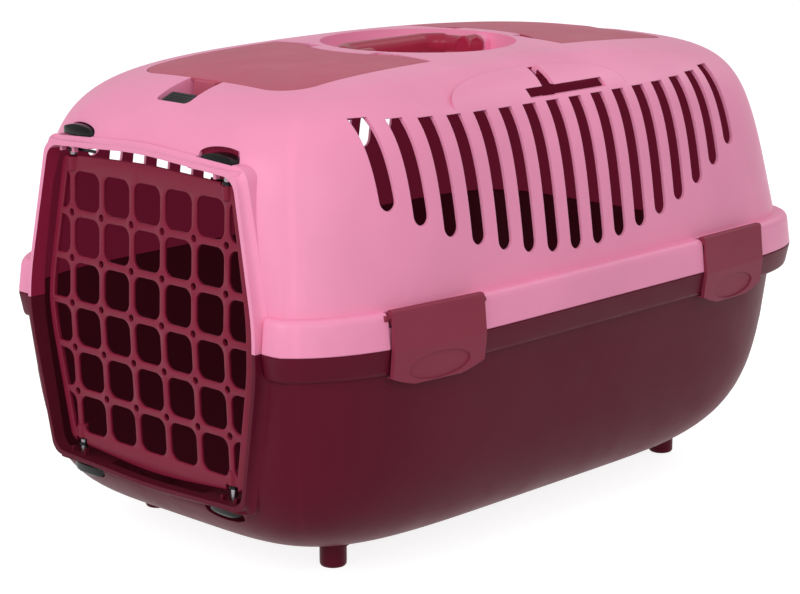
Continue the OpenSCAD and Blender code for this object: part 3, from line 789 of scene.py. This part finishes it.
# ---------------------------------------------------------------- lids and catches
def lid(sy):
    skin = cut(hood_solid(0), hood_solid(LID_T))
    obj = keep(lid_prism(sy, 0, 300, TOP_Z + 5), skin)
    tip, z = LID_FAR[sy], lid_axis_z()
    under = roof(0, sy * tip) - LID_T
    add(obj, box((-10.5, sy * (tip + 3.4), under - 1), (10.5, sy * (tip - 1.7), under + 1.2)),
        box((-10.5, sy * (tip + 3.4), under - 14), (10.5, sy * (tip + 0.9), under + 1.2)),
        box((-10.5, sy * (tip + 6.4), under - 14), (10.5, sy * (tip + 3.3), under - 12)))
    for sx in (-1, 1):
        for x, d in ((LID_HALF, LID_ROD), (LID_HALF + 4, LID_STUB)):
            add(obj, rod((sx * 63, sy * LID_AXIS, z), (sx * x, sy * LID_AXIS, z), d))
    return obj


def catch(sy):
    end, deep = LID_FAR[sy] + POCKET_LONG - 0.4, 12
    hook = roof(0, sy * LID_FAR[sy]) - LID_T - 12
    obj = box((-16.1, sy * end, 306.4), (16.1, sy * (end - 14.6), 308.6))
    grip = rounded([(-13, -end), (13, -end), (13, deep - end), (-13, deep - end)],
                   [3.2, 3.2, 1, 1])
    skin = np.array([roof(0, sy * abs(y)) for _, y in grip]) - 1.6
    rows = [np.column_stack([grip * [k, -sy], z]) for k, z in
            ((1, np.full(len(skin), 308.4)), (1, skin - 0.9), (0.97, skin))]
    add(obj, loft(rows),
        box((-5, sy * (end - deep + 0.1), hook + 0.6), (5, sy * (end - 22.8), hook + 2.4)))
    ridges = []
    for k in range(4):
        y = end - 10 + 2.2 * k
        z = roof(0, sy * y) - 1.6
        ridges.append(box((-10, sy * y, z - 0.7), (10, sy * (y + 0.9), z + 2)))
    return cut(obj, joined(ridges))


# ---------------------------------------------------------------- clips and feet
def clip_line():
    top = corner((-7.5, 198), (-2.9, 198), (0, 171), 2.2, 6)
    crease = corner((-2.9, 198), (0, 170.5), (-3.2, 145.9), 3, 6)
    toe = corner((0, 171), (-3.3, 145.7), (-5, 146.4), 0.8, 5)
    return ([(-7.5, 198)] + [tuple(p) for p in top + crease + toe]
            + [(-5, 146.6), (-5, 150.2), (-8.6, 152.4), (-8.6, 153.3), (-5.5, 153.3),
               (-3.8, 171.4), (-3.8, 192.6), (-7.5, 192.6)])


def plate_yz(line, x0, x1, lean=0.0):
    """Plate with an outline in Y and Z, leaned over with height."""
    rows = [[(x + lean * (p[1] - 171), p[0], p[1]) for p in line] for x in (x0, x1)]
    return loft([np.array(r) for r in rows])


def tab_line(w):
    t = np.linspace(1, -1, 25)
    low = np.column_stack([w * t, 144 + 8.5 * t * t])
    return np.vstack([[(-w, 210), (w, 210)], low])


def clip(sx, sy):
    w = CLIP_LEN[sy] / 2
    x, z = CLIP_AXIS
    obj = wall_xz(clip_line(), -w, w)
    keep(obj, plate_yz(tab_line(w), -30, 20))
    dent = circle(1, 48) * [0.67 * w, 9.3] + [0, 156.3]
    cut(obj, plate_yz(dent, -1.1, 8, 0.13))
    add(obj, rod((x, 1 - w, z), (x, w - 1, z), 8.8), rod((x, -w - 3.6, z), (x, w + 3.6, z), 4))
    return at_clip(obj, sx, sy)


def foot(sx, sy):
    steps = [(0, 7.6), (0.4, 8.6), (1.4, 9.3), (3, 9.5), (24.8, 9.5)]
    line = [lift(circle(r, 40, sx * FOOT_X, sy * FOOT_Y), z) for z, r in steps]
    return loft(line)


# ---------------------------------------------------------------- materials
def srgb(r, g, b):
    def one(v):
        v /= 255
        return v / 12.92 if v <= 0.04045 else ((v + 0.055) / 1.055) ** 2.4
    return (one(r), one(g), one(b), 1.0)


def shade(colour, k):
    return tuple(min(1.0, v * k) for v in colour[:3]) + (1.0,)


# where a mix node keeps its colour sockets
MIX_A, MIX_B, MIX_OUT = 6, 7, 2


def link(tree, a, out, b, into):
    tree.links.new(a.outputs[out], b.inputs[into])


def plastic(name, colour, rough=0.42, grain=0.25, bevel=0.7, coat=0.0, vary=0.06, edge_pale=0.35,
            specular=0.5, glow=None):
    """Moulded plastic: fine grain, cloudy colour, scuffs, and paler rounded edges."""
    mat = bpy.data.materials.new(name)
    mat.use_nodes = True
    tree = mat.node_tree
    shader = tree.nodes["Principled BSDF"]
    shader.inputs["Specular IOR Level"].default_value = specular
    shader.inputs["IOR"].default_value = 1.4
    # Emission, where given, is painted light: a glow standing in for bounce light on faces the
    # lamps leave dark
    if glow:
        shader.inputs["Emission Color"].default_value = glow
        shader.inputs["Emission Strength"].default_value = 1.0
    shader.inputs["Coat Weight"].default_value = coat
    shader.inputs["Coat Roughness"].default_value = 0.18
    place = tree.nodes.new("ShaderNodeTexCoord")

    cloud = tree.nodes.new("ShaderNodeTexNoise")
    cloud.inputs["Scale"].default_value = 9
    cloud.inputs["Detail"].default_value = 5
    link(tree, place, "Object", cloud, "Vector")
    tint = tree.nodes.new("ShaderNodeValToRGB")
    tint.color_ramp.elements[0].position = 0.3
    tint.color_ramp.elements[1].position = 0.7
    tint.color_ramp.elements[0].color = shade(colour, 1 - vary)
    tint.color_ramp.elements[1].color = shade(colour, 1 + vary)
    link(tree, cloud, "Fac", tint, "Fac")

    soft = tree.nodes.new("ShaderNodeBevel")
    soft.samples = 6
    soft.inputs["Radius"].default_value = bevel * MM
    flat = tree.nodes.new("ShaderNodeNewGeometry")
    # Paler colour on rounded edges: where the bevelled normal turns from the face normal, a lighter
    # copy of the colour is mixed in
    dot = tree.nodes.new("ShaderNodeVectorMath")
    dot.operation = "DOT_PRODUCT"
    link(tree, soft, "Normal", dot, 0)
    link(tree, flat, "Normal", dot, 1)
    edge = tree.nodes.new("ShaderNodeMapRange")
    edge.inputs["From Min"].default_value = 0.98
    edge.inputs["From Max"].default_value = 0.80
    edge.inputs["To Max"].default_value = edge_pale
    link(tree, dot, "Value", edge, "Value")
    edge_paling = tree.nodes.new("ShaderNodeMix")
    edge_paling.data_type = "RGBA"
    link(tree, edge, "Result", edge_paling, "Factor")
    tree.links.new(tint.outputs["Color"], edge_paling.inputs[MIX_A])
    edge_paling.inputs[MIX_B].default_value = shade(colour, 1.5)
    tree.links.new(edge_paling.outputs[MIX_OUT], shader.inputs["Base Color"])

    speck = tree.nodes.new("ShaderNodeTexNoise")
    speck.inputs["Scale"].default_value = 900
    speck.inputs["Detail"].default_value = 2
    link(tree, place, "Object", speck, "Vector")
    bump = tree.nodes.new("ShaderNodeBump")
    bump.inputs["Strength"].default_value = grain
    bump.inputs["Distance"].default_value = 0.15 * MM
    link(tree, speck, "Fac", bump, "Height")
    link(tree, soft, "Normal", bump, "Normal")
    link(tree, bump, "Normal", shader, "Normal")

    smear = tree.nodes.new("ShaderNodeTexNoise")
    smear.inputs["Scale"].default_value = 26
    smear.inputs["Detail"].default_value = 7
    smear.inputs["Roughness"].default_value = 0.65
    link(tree, place, "Object", smear, "Vector")
    gloss = tree.nodes.new("ShaderNodeMapRange")
    gloss.inputs["From Min"].default_value = 0.3
    gloss.inputs["From Max"].default_value = 0.7
    gloss.inputs["To Min"].default_value = rough - 0.05
    gloss.inputs["To Max"].default_value = rough + 0.06
    link(tree, smear, "Fac", gloss, "Value")
    link(tree, gloss, "Result", shader, "Roughness")
    return mat


def steel():
    mat = plastic("pin_steel", srgb(150, 146, 150), rough=0.3, grain=0.1, bevel=0.3, vary=0.15)
    mat.node_tree.nodes["Principled BSDF"].inputs["Metallic"].default_value = 1.0
    return mat


# ---------------------------------------------------------------- dressing
def dress(obj, node, mats, angle=34):
    """Names a finished piece, gives it its material and ties it to its CAD node."""
    obj.name = "vis_" + node
    obj.data.name = obj.name
    obj.data.transform(Matrix.Scale(MM, 4))
    obj.data.materials.clear()
    for m in mats:
        obj.data.materials.append(m)
    n = len(obj.data.polygons)
    obj.data.polygons.foreach_set("use_smooth", np.ones(n, bool))
    obj.data.polygons.foreach_set("material_index", np.zeros(n, np.int32))
    obj.data.set_sharp_from_angle(angle=math.radians(angle))
    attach(obj, BODY_OF[node])
    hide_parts(node)
    return obj


def in_recess(x, y, z):
    """Whether a point of the hood lies in the handle bowl, a tray or a catch pocket."""
    far = LID_FAR[-1 if y < 0 else 1]
    bowl = math.hypot(x, y) < BOWL_R + 0.6 and z > TOP_Z - BOWL_DEPTH - 0.5
    tray = (abs(x) < LID_HALF + 1 and LID_NEAR - 2.5 < abs(y) < far + 1
            and z > PIVOT_Z - TRAY_DEPTH + 1.5)
    pocket = abs(x) < POCKET_X + 0.6 and 0 < abs(y) - far + 3 < POCKET_LONG + 4 and z > 305.5
    return bowl or tray or pocket


def paint_shade_faces(obj, plan, height, sign):
    """Gives the second material, painted shade with a painted glow, to faces that lie wholly inside
    the middle of the wall and to the side faces of the door opening.
    """
    me = obj.data
    co = np.array([v.co for v in me.vertices]) / MM
    g = WALL * 0.5
    level = np.clip(sign * (co[:, 2] - PART_Z) / (height - g), 0.0, 0.9999)
    if sign > 0:
        level = np.clip(level / crown(co[:, 0], co[:, 1]), 0, 0.9999)
    within = np.zeros(len(co), bool)
    for i, s in enumerate(level):
        x, y = co[i, 0], co[i, 1]
        within[i] = (y > FRONT_Y + g and not beyond(x, y, plan(s, g))
                     and not (sign > 0 and in_recess(x, y, co[i, 2])))
    for p in me.polygons:
        c = p.center / MM
        reveal = c.y < -246 and abs(c.x) < 121 and p.normal.y > -0.5 and all(
            abs(co[v, 0]) < 120.5 and co[v, 1] < -244 for v in p.vertices) and (
            p.normal.x * c.x + p.normal.z * (c.z - PART_Z)) < 0 and abs(p.normal.y) < 0.4
        if all(within[v] for v in p.vertices) or (reveal and not 280 < c.z < 292):
            p.material_index = 1


bodies = frame["record"]["behaviour"]["bodies"]
BODY_OF = {node: body for body, nodes in bodies.items() for node in nodes}

HOOD = plastic("hood_plastic", srgb(243, 150, 186), rough=0.38, grain=0.30, specular=0.45)
# Hood inner faces: a darker copy of the hood plastic as painted shade, with a dim emission as
# painted bounce light
HOOD_PAINTED_SHADE = plastic("hood_inside_painted_shade_glow", srgb(120, 16, 46), rough=0.55, grain=0.3, specular=0.2,
                  glow=srgb(74, 16, 33))
TUB = plastic("tub_plastic", srgb(92, 14, 37), rough=0.42, grain=0.30, specular=0.16)
# Tub inner faces: a darker copy of the tub plastic as painted shade, with a dim emission as painted
# bounce light
TUB_PAINTED_SHADE = plastic("tub_inside_painted_shade_glow", srgb(80, 10, 28), rough=0.6, grain=0.3, specular=0.2,
                 glow=srgb(22, 4, 8))
DOOR = plastic("door_plastic", srgb(128, 27, 54), rough=0.36, grain=0.12, edge_pale=0.5, specular=0.25)
GRIP = plastic("handle_plastic", srgb(162, 40, 68), rough=0.3, grain=0.1, coat=0.15, specular=0.3)
LID = plastic("lid_plastic", srgb(192, 86, 110), rough=0.5, grain=0.4, specular=0.6)
CLIP = plastic("clip_plastic", srgb(137, 50, 70), rough=0.42, grain=0.25, specular=0.25)
BLACK = plastic("black_plastic", srgb(16, 16, 16), rough=0.22, grain=0.08, specular=0.3)
STEEL = steel()

hood = dress(upper_shell(), "upper_shell", [HOOD, HOOD_PAINTED_SHADE])
paint_shade_faces(hood, hood_plan, HOOD_H, 1)
tub = dress(lower_shell(), "lower_shell", [TUB, TUB_PAINTED_SHADE])
paint_shade_faces(tub, tub_plan, TUB_H, -1)
dress(door(), "door", [DOOR])
for sz, level in ((1, "top"), (-1, "bottom")):
    for sx, hand in ((-1, "left"), (1, "right")):
        tail = "_" + level + "_" + hand
        dress(bolt_cap(sx, sz), "bolt_cap" + tail, [BLACK])
        dress(bolt_pin(sx, sz), "bolt_pin" + tail, [STEEL])
        dress(bolt_spring(sx, sz), "bolt_spring" + tail, [BLACK])
dress(handle(), "handle", [GRIP])
for sy, end in ((-1, "front"), (1, "rear")):
    dress(lid(sy), end + "_lid", [LID])
    dress(catch(sy), end + "_catch", [BLACK])
    for sx, hand in ((-1, "left"), (1, "right")):
        dress(clip(sx, sy), "clip_" + end + "_" + hand, [CLIP])
        dress(foot(sx, sy), "foot_" + end + "_" + hand, [TUB])


# ---------------------------------------------------------------- stage
# camera: place in metres, azimuth and elevation in degrees, lens in mm
CAMERA_AT = (1.186455, -1.234066, 0.552720)
CAMERA_TURN = (43.48, 13.57)
CAMERA_LENS = 104.1075
CAMERA_SHIFT = (-0.0424, 0.005875)


def stage_material():
    """Pale floor: bright to look at, dimmer as a light on the object from below."""
    mat = bpy.data.materials.new("floor_white")
    mat.use_nodes = True
    tree = mat.node_tree
    shader = tree.nodes["Principled BSDF"]
    shader.inputs["Base Color"].default_value = (0.40, 0.40, 0.40, 1)
    shader.inputs["Roughness"].default_value = 0.8
    shader.inputs["Specular IOR Level"].default_value = 0.1
    shader.inputs["Emission Color"].default_value = (1, 1, 1, 1)
    path = tree.nodes.new("ShaderNodeLightPath")
    glow = tree.nodes.new("ShaderNodeMapRange")
    glow.inputs["To Min"].default_value = 0.86
    glow.inputs["To Max"].default_value = 0.0
    link(tree, path, "Is Diffuse Ray", glow, "Value")
    link(tree, glow, "Result", shader, "Emission Strength")
    return mat


def area_light(name, at, size, power, colour=(1, 1, 1)):
    lamp = bpy.data.lights.new(name, "AREA")
    lamp.energy = power
    lamp.size = size
    lamp.color = colour
    obj = bpy.data.objects.new(name, lamp)
    obj.location = at
    aim = Vector((0, 0, 0.18)) - Vector(at)
    obj.rotation_euler = aim.to_track_quat("-Z", "Y").to_euler()
    bpy.context.scene.collection.objects.link(obj)
    return obj


def studio():
    scene = bpy.context.scene
    world = bpy.data.worlds.new("studio")
    world.use_nodes = True
    tree = world.node_tree
    back = tree.nodes["Background"]
    back.inputs["Color"].default_value = (1, 1, 1, 1)
    path = tree.nodes.new("ShaderNodeLightPath")
    power = tree.nodes.new("ShaderNodeMapRange")
    power.inputs["To Min"].default_value = 0.60
    power.inputs["To Max"].default_value = 1.0
    link(tree, path, "Is Camera Ray", power, "Value")
    link(tree, power, "Result", back, "Strength")
    scene.world = world
    scene.view_settings.view_transform = "Standard"
    bpy.ops.mesh.primitive_plane_add(size=14, location=(0, 0, 0))
    floor = bpy.context.object
    floor.name = "floor"
    floor.data.materials.append(stage_material())
    area_light("key", (0.3, -2.6, 1.6), 1.6, 26)
    area_light("right", (2.4, -1.4, 1.5), 1.4, 14)
    area_light("rear", (0.4, 2.0, 1.8), 1.2, 6)


def camera():
    az, el = math.radians(CAMERA_TURN[0]), math.radians(CAMERA_TURN[1])
    right = Vector((math.cos(az), math.sin(az), 0))
    back = Vector((math.sin(az) * math.cos(el), -math.cos(az) * math.cos(el), math.sin(el)))
    up = back.cross(right)
    lens = bpy.data.cameras.new("photo_camera")
    lens.lens = CAMERA_LENS
    lens.shift_x, lens.shift_y = CAMERA_SHIFT
    obj = bpy.data.objects.new("photo_camera", lens)
    turned = Matrix((right, up, back)).transposed().to_4x4()
    obj.matrix_world = Matrix.Translation(CAMERA_AT) @ turned
    bpy.context.scene.collection.objects.link(obj)
    bpy.context.scene.camera = obj


studio()
camera()
